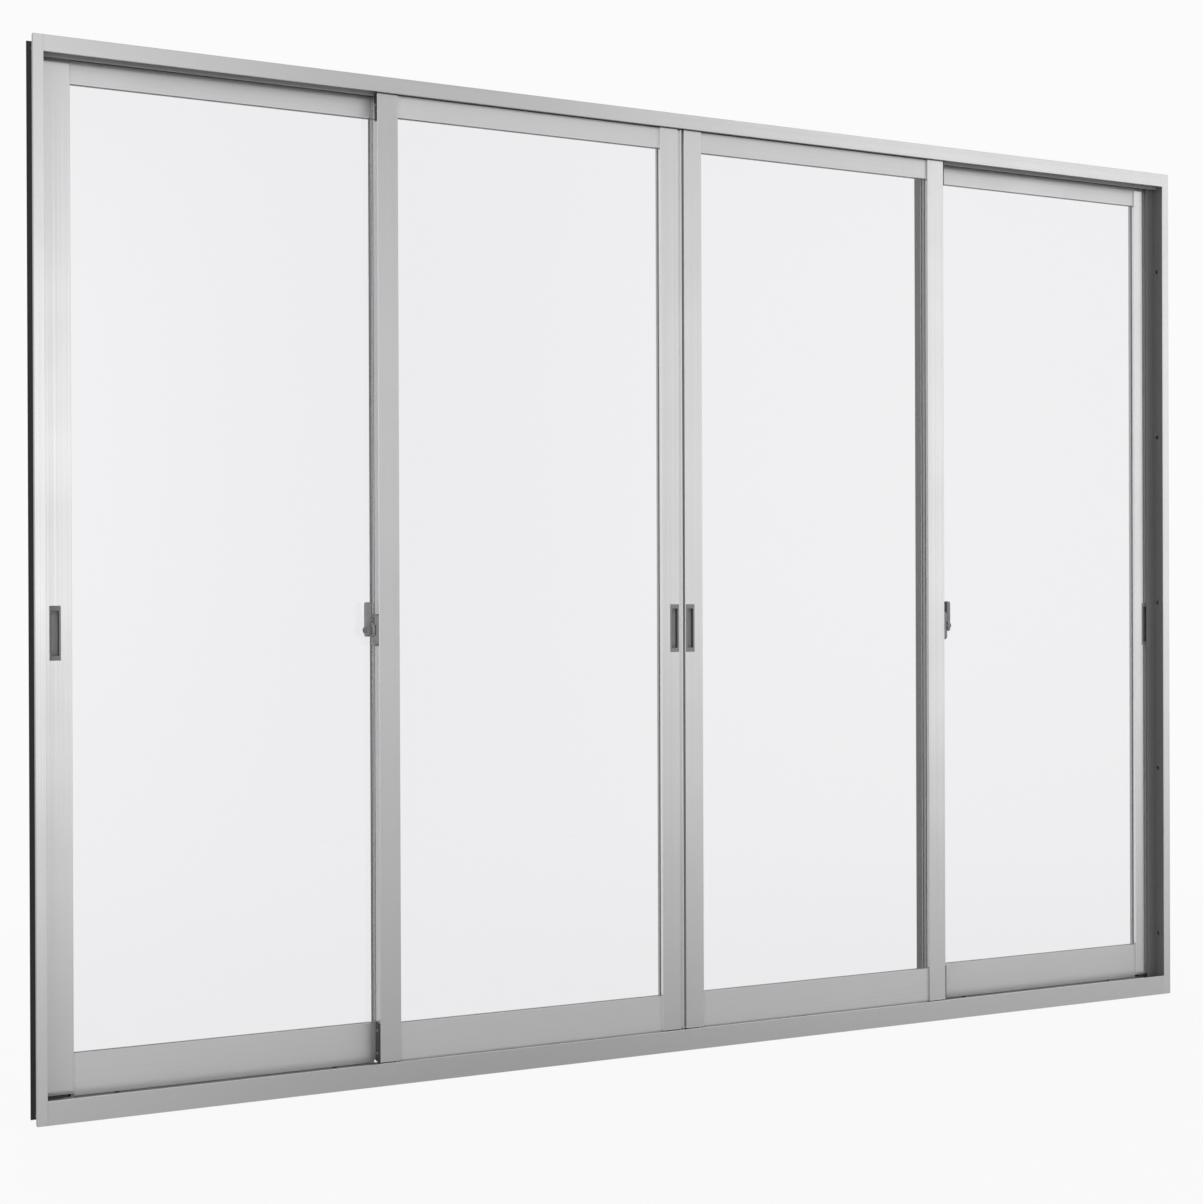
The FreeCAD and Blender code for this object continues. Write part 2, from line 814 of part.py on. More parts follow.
def guide_block(label, edge_x, inward, leaf_y, width):
    """Plastic shoe under a stile, slotted over the track rail."""
    inset = length("guide_block_inset")
    body = add_body(label, (edge_x + inward * inset, leaf_y, rail_bottom))
    tall = length("bottom_rail_drop")
    half_slot = length("roller_slot_width") / 2
    track = length("track_setback")
    back = length("leaf_thickness") - inset
    section = add_sketch(body, label + "_section", "YZ_Plane")
    draw_outline(section, [
        (inset, 0),
        (track - half_slot, 0),
        (track, tall / 2),
        (track + half_slot, 0),
        (back, 0),
        (back, tall),
        (inset, tall),
    ])
    pad(body, section, label + "_shoe", length(width) - inset - "guide_block_end_gap", inward < 0)
    return body


def leaf(label, left_x, leaf_y, left_width, right_width, pull_side, strip=False):
    """One glazed sliding leaf: two stiles, two rails, glazing, rollers, shoes and finger pulls."""
    clear = clear_width
    clear_left = left_x + left_width
    right_x = clear_left + clear + right_width
    pull_left = pull_side < 0
    stile(label + "_left_stile", left_x, 1, leaf_y, left_width, pull_left)
    stile(label + "_right_stile", right_x, -1, leaf_y, right_width, not pull_left, strip)
    top_rail(label + "_top_rail", clear_left, leaf_y, clear)
    bottom_rail(label + "_bottom_rail", clear_left, leaf_y, clear)
    glazing(label, clear_left, leaf_y, clear)
    if pull_left:
        pull_x = clear_left - "pull_centre_from_glass"
    else:
        pull_x = clear_left + clear + "pull_centre_from_glass"
    flush_pulls(label + "_flush_pulls", pull_x, leaf_y)
    left_roller = roller(label + "_roller_left", clear_left + "roller_from_end", leaf_y)
    right_roller = roller(label + "_roller_right", clear_left + clear - "roller_from_end", leaf_y)
    pair(label + "_rollers", left_roller, right_roller)
    left_block = guide_block(label + "_guide_left", left_x, 1, leaf_y, left_width)
    right_block = guide_block(label + "_guide_right", right_x, -1, leaf_y, right_width)
    pair(label + "_guide_blocks", left_block, right_block)


# Locks

def crescent_base(label, edge_x, side):
    """Lock body on the outer edge of a front leaf: waisted plate, boss, pivot pin and its cap."""
    body = add_body(label, (edge_x, front_leaf_y, "crescent_height"))
    half_height = length("crescent_base_height") / 2
    half_depth = length("crescent_base_depth") / 2
    middle = length("crescent_base_setback") + half_depth
    outline = add_sketch(body, label + "_outline", "YZ_Plane")
    draw_outline(outline, [
        (middle + corner[0],) + corner[1:]
        for corner in rounded(half_depth, -half_height, half_height, "crescent_base_radius")])
    pad(body, outline, label + "_plate", "crescent_base_thickness", side < 0)
    outer_face = side * length("crescent_base_thickness")
    half_waist = length("crescent_waist_height") / 2
    waist = add_sketch(body, label + "_waist_outline", "YZ_Plane", outer_face)
    draw_outline(waist, rectangle(0, middle + half_depth * 2, -half_waist, half_waist))
    draw_circle(waist, "crescent_axis_setback", 0, "crescent_boss_radius")
    pocket(body, waist, label + "_waist", "crescent_waist_depth", side < 0)
    reach = (
        length("crescent_base_thickness") + "crescent_gap" + "cam_thickness" + "lever_thickness"
        + "crescent_cap_gap")
    pin = add_sketch(body, label + "_pin_outline", "YZ_Plane")
    draw_circle(pin, "crescent_axis_setback", 0, "crescent_pin_radius")
    pad(body, pin, label + "_pin", reach, side < 0)
    cap = add_sketch(body, label + "_cap_outline", "YZ_Plane", side * reach)
    draw_circle(cap, "crescent_axis_setback", 0, "crescent_cap_radius")
    pad(body, cap, label + "_cap", "crescent_cap_thickness", side < 0)
    keep(label, body)


def crescent_lever(label, edge_x, side):
    """Turning part of the lock: hub, hooked cam rim and thumb lever with a short tail, lever up."""
    body = add_body(label, (edge_x, front_leaf_y + "crescent_axis_setback", "crescent_height"))
    start = side * (length("crescent_base_thickness") + "crescent_gap")
    backwards = side < 0
    cam = add_sketch(body, label + "_cam_outline", "YZ_Plane", start)
    draw_cam(cam)
    pad(body, cam, label + "_cam", "cam_thickness", backwards)
    half = length("lever_width") / 2
    arm = add_sketch(body, label + "_arm_outline", "YZ_Plane", start + side * length("cam_thickness"))
    draw_outline(arm, rounded(half, -length("lever_tail"), "lever_length", "lever_corner_radius"))
    pad(body, arm, label + "_arm", "lever_thickness", backwards)
    bore = add_sketch(body, label + "_bore_outline", "YZ_Plane")
    draw_circle(bore, 0, 0, length("crescent_pin_radius") + "crescent_fit")
    pocket(body, bore, label + "_bore")
    keep(label, body)


def draw_cam(sketch):
    """Round hub joined by a web to a hooked rim, which lies towards the room at rest."""
    hub = length("cam_hub_radius")
    rim = length("cam_radius")
    slot = rim - "cam_rim"
    draw_outline(sketch, [
        around(rim, CAM_RIM_START) + (rim,),
        around(rim, CAM_MOUTH),
        around(slot, CAM_MOUTH) + (-slot,),
        around(slot, CAM_WEB_AT_RIM),
        around(hub, CAM_WEB_AT_HUB) + (hub,),
        around(hub, CAM_HUB_LOW) + (hub,),
        around(hub, CAM_HUB_TOP),
    ])


def keeper(label, stile_edge_x, side):
    """Catch on a rear leaf's stile: a plate with a tongue for the cam to pass behind."""
    tongue_y = length("crescent_axis_setback") + "cam_radius" - "cam_rim" - "keeper_tongue_gap"
    body = add_body(label, (stile_edge_x, rear_leaf_y, "crescent_height"))
    half = length("keeper_height") / 2
    backwards = side < 0
    plate = add_sketch(body, label + "_plate_outline", "YZ_Plane")
    draw_outline(plate, rectangle(0, "keeper_depth", -half, half))
    pad(body, plate, label + "_plate", "keeper_plate", backwards)
    half_tongue = length("keeper_tongue_height") / 2
    shift = length("leaf_thickness") + "leaf_plane_gap"
    back = tongue_y - shift
    tongue = add_sketch(body, label + "_tongue_outline", "YZ_Plane")
    draw_outline(tongue, rectangle(
        back - "keeper_tongue_thickness", back, -half_tongue, half_tongue))
    cam_end = length("crescent_base_thickness") + "crescent_gap" + "cam_thickness"
    pad(body, tongue, label + "_tongue", cam_end - "keeper_end_gap", backwards)
    keep(label, body)


def edge_caps(label, edge_x, side):
    """Plastic covers over the top and bottom of a front leaf's outer edge."""
    thick = length("edge_cap_thickness")
    left = edge_x - thick if side < 0 else edge_x
    top = add_box(
        label + "_top",
        (left, front_leaf_y, leaf_top - "edge_cap_top_height"),
        (thick, length("track_setback") - length("guide_slot_width") / 2, "edge_cap_top_height"))
    bottom = add_box(
        label + "_bottom",
        (left, front_leaf_y, "leaf_bottom"),
        (thick, "leaf_thickness", "edge_cap_bottom_height"))
    pair(label, top, bottom)


jamb("left_jamb", -1, "left_fin_reach")
jamb("right_jamb", 1, "right_fin_reach")
head_track()
sill_track()
jamb_trim("left_trim", -1)
jamb_trim("right_trim", 1)
head_trim()
sill_trim()

leaf("leaf_1", -rear_leaf_outer, rear_leaf_y, "jamb_stile_width", "overlap_stile_width", -1)
leaf("leaf_2", -front_leaf_outer, front_leaf_y, "overlap_stile_width", "meeting_stile_width", 1, True)
leaf("leaf_3", front_leaf_inner, front_leaf_y, "meeting_stile_width", "overlap_stile_width", -1)
leaf("leaf_4", rear_leaf_inner, rear_leaf_y, "overlap_stile_width", "jamb_stile_width", 1)

for number, side in ((2, -1), (3, 1)):
    outer_edge = side * front_leaf_outer
    crescent_base("leaf_%d_crescent_base" % number, outer_edge, side)
    crescent_lever("leaf_%d_crescent_lever" % number, outer_edge, side)
    edge_caps("leaf_%d_edge_caps" % number, outer_edge, side)
for number, side in ((1, -1), (4, 1)):
    keeper("leaf_%d_keeper" % number, side * (rear_leaf_inner + "overlap_stile_width"), side)

doc.recompute()

faults = []
for obj in doc.Objects:
    if "Invalid" in obj.State or "Error" in obj.State:
        faults.append("%s is in state %s" % (obj.Name, obj.State))
for label, obj in parts.items():
    if obj.Shape.isNull() or not obj.Shape.isValid():
        faults.append("%s has no valid shape" % label)
if faults:
    raise RuntimeError("; ".join(faults))

os.makedirs("parts", exist_ok=True)
total = 0.0
for label, obj in parts.items():
    obj.Shape.exportStep("parts/%s.step" % label)
    total += obj.Shape.Volume
print("%d parts, %.4f cubic metres of solid" % (len(parts), total / 1e9))
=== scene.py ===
import math
import bpy
from mathutils import Matrix, Vector


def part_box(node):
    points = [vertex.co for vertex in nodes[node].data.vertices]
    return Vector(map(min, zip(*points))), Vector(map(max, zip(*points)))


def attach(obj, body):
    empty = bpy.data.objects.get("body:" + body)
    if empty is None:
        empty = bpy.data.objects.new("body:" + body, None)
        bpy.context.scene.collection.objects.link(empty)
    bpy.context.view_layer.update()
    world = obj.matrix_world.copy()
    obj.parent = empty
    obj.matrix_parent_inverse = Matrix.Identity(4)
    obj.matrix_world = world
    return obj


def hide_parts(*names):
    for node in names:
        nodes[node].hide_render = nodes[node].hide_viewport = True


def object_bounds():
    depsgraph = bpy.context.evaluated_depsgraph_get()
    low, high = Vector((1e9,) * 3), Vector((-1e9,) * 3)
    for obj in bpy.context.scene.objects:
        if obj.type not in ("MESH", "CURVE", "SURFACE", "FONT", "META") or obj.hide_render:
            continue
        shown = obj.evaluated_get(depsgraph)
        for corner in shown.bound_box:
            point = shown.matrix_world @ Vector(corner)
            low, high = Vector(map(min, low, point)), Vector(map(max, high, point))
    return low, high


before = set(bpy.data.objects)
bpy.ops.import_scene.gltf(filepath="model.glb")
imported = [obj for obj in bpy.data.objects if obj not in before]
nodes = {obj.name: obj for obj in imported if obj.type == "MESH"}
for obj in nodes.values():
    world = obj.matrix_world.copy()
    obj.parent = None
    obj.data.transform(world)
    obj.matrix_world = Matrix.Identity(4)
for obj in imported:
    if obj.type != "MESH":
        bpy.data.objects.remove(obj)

# Four-leaf glass sliding patio door, seen from indoors, in metres.
# The indoor side faces -Y, the door's left is -X and +Z points up.
cad_low, cad_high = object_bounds()

# Leaves 1 and 4 run on the rear track, leaves 2 and 3 on the front track.
# Each leaf's outer side is the one nearer to its jamb.
LEFT = -1.0
RIGHT = 1.0
SIDE_NAMES = {LEFT: "left", RIGHT: "right"}
FRONT_LEAVES = ((2, LEFT), (3, RIGHT))
REAR_LEAVES = ((1, LEFT), (4, RIGHT))

# The photograph's viewpoint
PICTURE_HEIGHT = 1204
SENSOR = 36.0
FOCAL_PIXELS = 2029.0
CAMERA_PLACE = (-2.3626, -4.1818, 1.0373)
CAMERA_TURN = 27.35
CAMERA_TILT = -0.152
CAMERA_ROLL = 0.202
PICTURE_SHIFT = 12.9


def add_camera():
    """Camera at the photograph's height and angle."""
    data = bpy.data.cameras.new("photo_view")
    data.sensor_width = SENSOR
    data.lens = FOCAL_PIXELS * SENSOR / PICTURE_HEIGHT
    data.shift_y = PICTURE_SHIFT / PICTURE_HEIGHT
    camera = bpy.data.objects.new("photo_view", data)
    bpy.context.scene.collection.objects.link(camera)
    camera.location = CAMERA_PLACE
    camera.rotation_euler = (
        math.radians(90 + CAMERA_TILT), math.radians(CAMERA_ROLL), math.radians(-CAMERA_TURN))
    bpy.context.scene.camera = camera


# Shading helpers

def link(tree, source, target):
    """Join two sockets."""
    tree.links.new(source, target)


def feed(tree, value, target):
    """Give a socket a plain number or the value of another socket."""
    if isinstance(value, (int, float)):
        target.default_value = value
    else:
        link(tree, value, target)


def new_material(name, colour, roughness, metallic=0.0):
    """Principled material with its plain values set; returns the material, tree and shader."""
    material = bpy.data.materials.new(name)
    material.use_nodes = True
    tree = material.node_tree
    shader = tree.nodes["Principled BSDF"]
    shader.inputs["Base Color"].default_value = (*colour, 1.0)
    shader.inputs["Roughness"].default_value = roughness
    shader.inputs["Metallic"].default_value = metallic
    return material, tree, shader


def new_group(name, inputs, outputs):
    """Empty shader group with typed sockets; returns the group and its two end nodes."""
    group = bpy.data.node_groups.new(name, "ShaderNodeTree")
    for label, kind, value in inputs:
        socket = group.interface.new_socket(label, in_out="INPUT", socket_type=kind)
        socket.default_value = value
    for label, kind in outputs:
        group.interface.new_socket(label, in_out="OUTPUT", socket_type=kind)
    return group, group.nodes.new("NodeGroupInput"), group.nodes.new("NodeGroupOutput")


def maths(tree, operation, first, second=None):
    """Math node on sockets or plain numbers; returns its value socket."""
    node = tree.nodes.new("ShaderNodeMath")
    node.operation = operation
    feed(tree, first, node.inputs[0])
    if second is not None:
        feed(tree, second, node.inputs[1])
    return node.outputs["Value"]


def axes(tree, vector):
    """X, Y and Z outputs of a vector socket."""
    node = tree.nodes.new("ShaderNodeSeparateXYZ")
    link(tree, vector, node.inputs["Vector"])
    return node.outputs


def object_place(tree):
    """Socket with the place on the piece itself."""
    return tree.nodes.new("ShaderNodeTexCoord").outputs["Object"]


def surface_normal(tree):
    """Socket with the direction that the surface faces."""
    return tree.nodes.new("ShaderNodeNewGeometry").outputs["Normal"]


def noise(tree, place, scale, detail):
    """Noise texture over a vector socket; returns its value socket."""
    node = tree.nodes.new("ShaderNodeTexNoise")
    node.inputs["Detail"].default_value = detail
    link(tree, place, node.inputs["Vector"])
    feed(tree, scale, node.inputs["Scale"])
    return node.outputs["Fac"]


def tinted(tree, colour, factor):
    """Colour made lighter or darker by a factor; returns its vector socket."""
    node = tree.nodes.new("ShaderNodeVectorMath")
    node.operation = "SCALE"
    link(tree, colour, node.inputs[0])
    link(tree, factor, node.inputs["Scale"])
    return node.outputs["Vector"]


def ramp(tree, position, stops):
    """Grey ramp through (position, level) stops; returns its colour socket."""
    node = tree.nodes.new("ShaderNodeValToRGB")
    elements = node.color_ramp.elements
    for element, (where, level) in zip((elements[0], elements[1]), (stops[0], stops[-1])):
        element.position = where
        element.color = (level, level, level, 1.0)
    for where, level in stops[1:-1]:
        elements.new(where).color = (level, level, level, 1.0)
    link(tree, position, node.inputs["Fac"])
    return node.outputs["Color"]


def blend_shaders(tree, share, first, second):
    """Mix of two shader sockets; returns its shader socket."""
    node = tree.nodes.new("ShaderNodeMixShader")
    link(tree, share, node.inputs["Fac"])
    link(tree, first, node.inputs[1])
    link(tree, second, node.inputs[2])
    return node.outputs["Shader"]


def looked_at(tree, path):
    """Share that is 1 where the camera looks straight or through the glass."""
    return maths(tree, "MAXIMUM", path.outputs["Is Camera Ray"], path.outputs["Is Transmission Ray"])


# Surface effects
SURFACE_OUTPUTS = (
    ("Colour", "NodeSocketColor"), ("Roughness", "NodeSocketFloat"), ("Height", "NodeSocketFloat"))
LINE_DETAIL = 3.0
CLOUD_SCALE = 3.5
CLOUD_DETAIL = 2.0
SIDE_SHADE_SHARPNESS = 4.0
ROUGHNESS_SWING = -1.5
GRAIN_DETAIL = 2.0
BUMP_STRENGTH = 0.4

# Pattern scales per metre of a section that runs along X or Z
ALONG_X = (0.4, 300.0, 300.0)
ALONG_Z = (300.0, 300.0, 0.4)


def drawn_metal_and_side_shade_group():
    """Long faint die lines of an extruded section, with cloudy changes of tone, and painted shade that
    darkens the faces turned sideways along X.
    """
    group, start, end = new_group(
        "die_lines_and_side_shade",
        [("Stretch", "NodeSocketVector", ALONG_Z),
         ("Colour", "NodeSocketColor", (0.8, 0.8, 0.8, 1.0)),
         ("Contrast", "NodeSocketFloat", 0.04),
         ("Painted side shade", "NodeSocketFloat", 1.0),
         ("Roughness", "NodeSocketFloat", 0.3)],
        SURFACE_OUTPUTS)
    place = object_place(group)
    stretched = group.nodes.new("ShaderNodeVectorMath")
    stretched.operation = "MULTIPLY"
    link(group, place, stretched.inputs[0])
    link(group, start.outputs["Stretch"], stretched.inputs[1])
    lines = noise(group, stretched.outputs["Vector"], 1.0, LINE_DETAIL)
    clouds = noise(group, place, CLOUD_SCALE, CLOUD_DETAIL)
    around_zero = maths(group, "SUBTRACT", maths(group, "ADD", lines, clouds), 1.0)
    swing = maths(group, "MULTIPLY", around_zero, start.outputs["Contrast"])
    # Painted shade: faces turned sideways along X take the side input as a colour factor
    across = maths(group, "ABSOLUTE", axes(group, surface_normal(group))["X"])
    sideways = maths(group, "POWER", across, SIDE_SHADE_SHARPNESS)
    side_shade = maths(group, "MULTIPLY", sideways, maths(group, "SUBTRACT", 1.0, start.outputs["Painted side shade"]))
    tone = maths(group, "MULTIPLY", maths(group, "ADD", swing, 1.0), maths(group, "SUBTRACT", 1.0, side_shade))
    link(group, tinted(group, start.outputs["Colour"], tone), end.inputs["Colour"])
    rougher = maths(group, "MULTIPLY", swing, ROUGHNESS_SWING)
    link(group, maths(group, "ADD", start.outputs["Roughness"], rougher), end.inputs["Roughness"])
    link(group, lines, end.inputs["Height"])
    return group


def grain_group():
    """Fine even grain of a moulded or cast surface, or of a brush's fibres."""
    group, start, end = new_group(
        "fine_grain",
        [("Size", "NodeSocketFloat", 1200.0),
         ("Colour", "NodeSocketColor", (0.1, 0.1, 0.1, 1.0)),
         ("Contrast", "NodeSocketFloat", 0.2),
         ("Roughness", "NodeSocketFloat", 0.5)],
        SURFACE_OUTPUTS)
    grain = noise(group, object_place(group), start.outputs["Size"], GRAIN_DETAIL)
    swing = maths(group, "MULTIPLY", maths(group, "SUBTRACT", grain, 0.5), start.outputs["Contrast"])
    tone = maths(group, "ADD", swing, 1.0)
    link(group, tinted(group, start.outputs["Colour"], tone), end.inputs["Colour"])
    link(group, maths(group, "ADD", start.outputs["Roughness"], swing), end.inputs["Roughness"])
    link(group, grain, end.inputs["Height"])
    return group


# A flush pull: its face, the floor of its recess and the walls between them, with painted shade on the walls
# and painted light on the floor.
# The floor is what lies nearer than FLOOR_REACH to the leaf's middle plane.
PULL_GREY = (0.22, 0.22, 0.225)
PULL_FLOOR_PAINTED_LIGHT = (0.4, 0.4, 0.4)
PULL_WALLS_PAINTED_SHADE = (0.07, 0.07, 0.07)
PULL_ROUGHNESS = 0.5
FLOOR_REACH = 0.006
WALL_SLOPE = 0.5


def pull_shading_group():
    """Tones of a flush pull: painted shade on the walls and painted light on the floor at the bottom of the
    recess.
    """
    group, start, end = new_group(
        "pull_painted_shading",
        [("Middle", "NodeSocketFloat", 0.0),
         ("Face", "NodeSocketColor", (*PULL_GREY, 1.0)),
         ("Painted floor light", "NodeSocketColor", (*PULL_FLOOR_PAINTED_LIGHT, 1.0)),
         ("Painted wall shade", "NodeSocketColor", (*PULL_WALLS_PAINTED_SHADE, 1.0))],
        [("Colour", "NodeSocketColor")])
    # Painted light on the recess floor, painted shade on its walls
    from_middle = maths(group, "SUBTRACT", axes(group, object_place(group))["Y"], start.outputs["Middle"])
    lit_floor = maths(group, "LESS_THAN", maths(group, "ABSOLUTE", from_middle), FLOOR_REACH)
    towards_room = maths(group, "ABSOLUTE", axes(group, surface_normal(group))["Y"])
    shaded_wall = maths(group, "LESS_THAN", towards_room, WALL_SLOPE)
    colour = start.outputs["Face"]
    for label, share in (("Painted floor light", lit_floor), ("Painted wall shade", shaded_wall)):
        mix = group.nodes.new("ShaderNodeMix")
        mix.data_type = "RGBA"
        link(group, share, mix.inputs["Factor"])
        link(group, colour, mix.inputs["A"])
        link(group, start.outputs[label], mix.inputs["B"])
        colour = mix.outputs["Result"]
    link(group, colour, end.inputs["Colour"])
    return group


DIE_LINES_AND_SIDE_SHADE = drawn_metal_and_side_shade_group()
FINE_GRAIN = grain_group()
PULL_PAINTED_SHADING = pull_shading_group()


def dress(tree, shader, group, values, bump_height):
    """Place a surface group in a material and feed the shader from it."""
    effect = tree.nodes.new("ShaderNodeGroup")
    effect.node_tree = group
    for label, value in values.items():
        effect.inputs[label].default_value = value
    link(tree, effect.outputs["Colour"], shader.inputs["Base Color"])
    link(tree, effect.outputs["Roughness"], shader.inputs["Roughness"])
    bump = tree.nodes.new("ShaderNodeBump")
    bump.inputs["Strength"].default_value = BUMP_STRENGTH
    bump.inputs["Distance"].default_value = bump_height
    link(tree, effect.outputs["Height"], bump.inputs["Height"])
    link(tree, bump.outputs["Normal"], shader.inputs["Normal"])


# Finishes
SATIN_METAL = 0.80
SATIN_CONTRAST = 0.09
SATIN_BUMP = 0.00001
DARK_CONTRAST = 0.15
DARK_BUMP = 0.00002
GRAIN_CONTRAST = 0.12
GRAIN_BUMP = 0.00003
MOULD_GRAIN = 1200.0
FIBRE_GRAIN = 2500.0
PLAIN_SPECULAR = 0.5
DULL_SPECULAR = 0.15
GLASS_IOR = 1.5


def anodised(name, along, colour, roughness, painted_side_shade=1.0):
    """Satin anodised aluminium with die lines along one direction, and painted shade on its side faces when
    the side factor is below 1.
    """
    material, tree, shader = new_material(name, colour, roughness, SATIN_METAL)
    dress(tree, shader, DIE_LINES_AND_SIDE_SHADE, {
        "Stretch": along, "Colour": (*colour, 1.0), "Contrast": SATIN_CONTRAST, "Painted side shade": painted_side_shade,
        "Roughness": roughness}, SATIN_BUMP)
    return material


def coated(name, along, colour, roughness):
    """Coloured coating of the frame's channels."""
    material, tree, shader = new_material(name, colour, roughness)
    dress(tree, shader, DIE_LINES_AND_SIDE_SHADE, {
        "Stretch": along, "Colour": (*colour, 1.0), "Contrast": DARK_CONTRAST, "Roughness": roughness},
        DARK_BUMP)
    return material


def moulded(name, colour, roughness, grain=MOULD_GRAIN, metallic=0.0, specular=PLAIN_SPECULAR):
    """Moulded plastic, rubber or cast metal with a fine grain."""
    material, tree, shader = new_material(name, colour, roughness, metallic)
    shader.inputs["Specular IOR Level"].default_value = specular
    dress(tree, shader, FINE_GRAIN, {
        "Size": grain, "Colour": (*colour, 1.0), "Contrast": GRAIN_CONTRAST, "Roughness": roughness},
        GRAIN_BUMP)
    return material


def pull_finish(name, node):
    """Grey of a flush pull, with painted shade on the walls of its recesses and painted light on their floors
    near the leaf's middle plane.
    """
    material, tree, shader = new_material(name, PULL_GREY, PULL_ROUGHNESS)
    effect = tree.nodes.new("ShaderNodeGroup")
    effect.node_tree = PULL_PAINTED_SHADING
    low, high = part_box(node)
    effect.inputs["Middle"].default_value = (low[1] + high[1]) / 2
    link(tree, effect.outputs["Colour"], shader.inputs["Base Color"])
    return material


def clear_glass(name, colour):
    """Float glass with the faint grey of its own thickness."""
    material, tree, shader = new_material(name, colour, 0.0)
    shader.inputs["Transmission Weight"].default_value = 1.0
    shader.inputs["IOR"].default_value = GLASS_IOR
    return material


SATIN = (0.80, 0.80, 0.81)
# A little darker than SATIN: painted shade for the shadowed floor that the sill reflects
SATIN_SILL_PAINTED_SHADE = (0.77, 0.77, 0.78)
SATIN_ROUGHNESS = 0.20
RAIL_ROUGHNESS = 0.36
# Painted shade on the side faces of the front leaves' overlapping stiles, and deeper painted shadow on the
# rear leaves' stiles behind the front leaves
EDGE_PAINTED_SHADE = 0.60
REVEAL_PAINTED_SHADOW = 0.25
DARK_GREY = (0.145, 0.145, 0.148)
HEAD_GREY = (0.32, 0.32, 0.325)
TRACK_GREY = (0.60, 0.60, 0.605)
GLASS_GREY = (0.893, 0.893, 0.903)
LOCK_GREY = (0.22, 0.22, 0.225)
ZINC = (0.55, 0.55, 0.56)

satin_up = anodised("satin_aluminium_upright", ALONG_Z, SATIN, SATIN_ROUGHNESS)
satin_shaded_edge = anodised("satin_aluminium_edge_painted_shade", ALONG_Z, SATIN, SATIN_ROUGHNESS, EDGE_PAINTED_SHADE)
satin_shadowed_reveal = anodised("satin_aluminium_reveal_painted_shadow", ALONG_Z, SATIN, SATIN_ROUGHNESS, REVEAL_PAINTED_SHADOW)
satin_level = anodised("satin_aluminium_level", ALONG_X, SATIN, SATIN_ROUGHNESS)
satin_rail = anodised("satin_aluminium_rail", ALONG_X, SATIN, RAIL_ROUGHNESS)
# Painted shade: the sill's satin is kept a little darker
satin_sill_shaded = anodised("satin_aluminium_sill_painted_shade", ALONG_X, SATIN_SILL_PAINTED_SHADE, SATIN_ROUGHNESS)
jamb_coat = coated("dark_anodising_upright", ALONG_Z, DARK_GREY, 0.45)
head_coat = coated("dark_anodising_level", ALONG_X, HEAD_GREY, 0.45)
track_coat = coated("track_grey", ALONG_X, TRACK_GREY, 0.40)
glass = clear_glass("float_glass", GLASS_GREY)
seal_rubber = moulded("glazing_rubber", (0.60, 0.60, 0.60), 0.7)
dark_pile = moulded("brush_pile", (0.05, 0.05, 0.052), 0.9, FIBRE_GRAIN)
grey_pile = moulded("grey_pile", (0.38, 0.38, 0.385), 0.9, FIBRE_GRAIN)
wall_rubber = moulded("wall_rubber", (0.05, 0.05, 0.05), 0.9, specular=DULL_SPECULAR)
front_pulls = pull_finish("front_pull_grey", "leaf_2_flush_pulls")
rear_pulls = pull_finish("rear_pull_grey", "leaf_1_flush_pulls")
lock_metal = moulded("lock_metal", LOCK_GREY, 0.4)
screw_zinc = moulded("screw_zinc", ZINC, 0.35, metallic=1.0)
roller_plastic = moulded("roller_plastic", (0.06, 0.06, 0.06), 0.6)
cap_plastic = moulded("cap_plastic", (0.03, 0.03, 0.03), 0.5)

NODE_FINISH = {
    "head_track": head_coat,
    "sill_track": track_coat,
    "left_jamb": jamb_coat,
    "right_jamb": jamb_coat,
    "head_trim": satin_level,
    "sill_trim": satin_sill_shaded,
    "left_trim": satin_up,
    "right_trim": satin_up,
    # Overlapping stiles: painted shadow on the rear leaves' ones, painted shade on the front leaves' side
    # faces
    "leaf_1_right_stile": satin_shadowed_reveal,
    "leaf_2_left_stile": satin_shaded_edge,
    "leaf_3_right_stile": satin_shaded_edge,
    "leaf_4_left_stile": satin_shadowed_reveal,
    "leaf_1_flush_pulls": rear_pulls,
    "leaf_2_flush_pulls": front_pulls,
    "leaf_3_flush_pulls": front_pulls,
    "leaf_4_flush_pulls": rear_pulls,
}
# By what follows leaf_1_ to leaf_4_ in a node's name
LEAF_FINISH = {
    "left_stile": satin_up,
    "right_stile": satin_up,
    "top_rail": satin_rail,
    "bottom_rail": satin_rail,
    "glass": glass,
    "glazing_seal": seal_rubber,
    "rollers": roller_plastic,
    "guide_blocks": roller_plastic,
    "crescent_base": lock_metal,
    "crescent_lever": lock_metal,
    "edge_caps": cap_plastic,
    "keeper": lock_metal,
}


def finish_nodes():
    """Give each carried-over node its material."""
    for name, node in nodes.items():
        material = NODE_FINISH.get(name)
        if material is None:
            material = LEAF_FINISH[name.split("_", 2)[2]]
        node.data.materials.clear()
        node.data.materials.append(material)


# Modelling helpers
FACING = 0.9
SMOOTH_ANGLE = math.radians(40)


def edge_of(node, side):
    """Where a node ends on its left or right."""
    low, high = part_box(node)
    return high[0] if side == RIGHT else low[0]


def start_box(name, low, high):
    """Cube stretched between two corners, the start of a piece."""
    bpy.ops.object.select_all(action="DESELECT")
    middle = [(first + last) / 2 for first, last in zip(low, high)]
    bpy.ops.mesh.primitive_cube_add(size=1.0, location=middle)
    piece = bpy.context.object
    piece.name = name
    piece.scale = [last - first for first, last in zip(low, high)]
    bpy.ops.object.transform_apply(location=True, rotation=True, scale=True)
    return piece


def edit_faces(piece, towards):
    """Enter edit mode with only the faces that look one way selected."""
    bpy.ops.object.mode_set(mode="EDIT")
    bpy.ops.mesh.select_mode(type="FACE")
    bpy.ops.mesh.select_all(action="DESELECT")
    bpy.ops.object.mode_set(mode="OBJECT")
    direction = Vector(towards)
    for face in piece.data.polygons:
        face.select = face.normal.dot(direction) > FACING
    bpy.ops.object.mode_set(mode="EDIT")


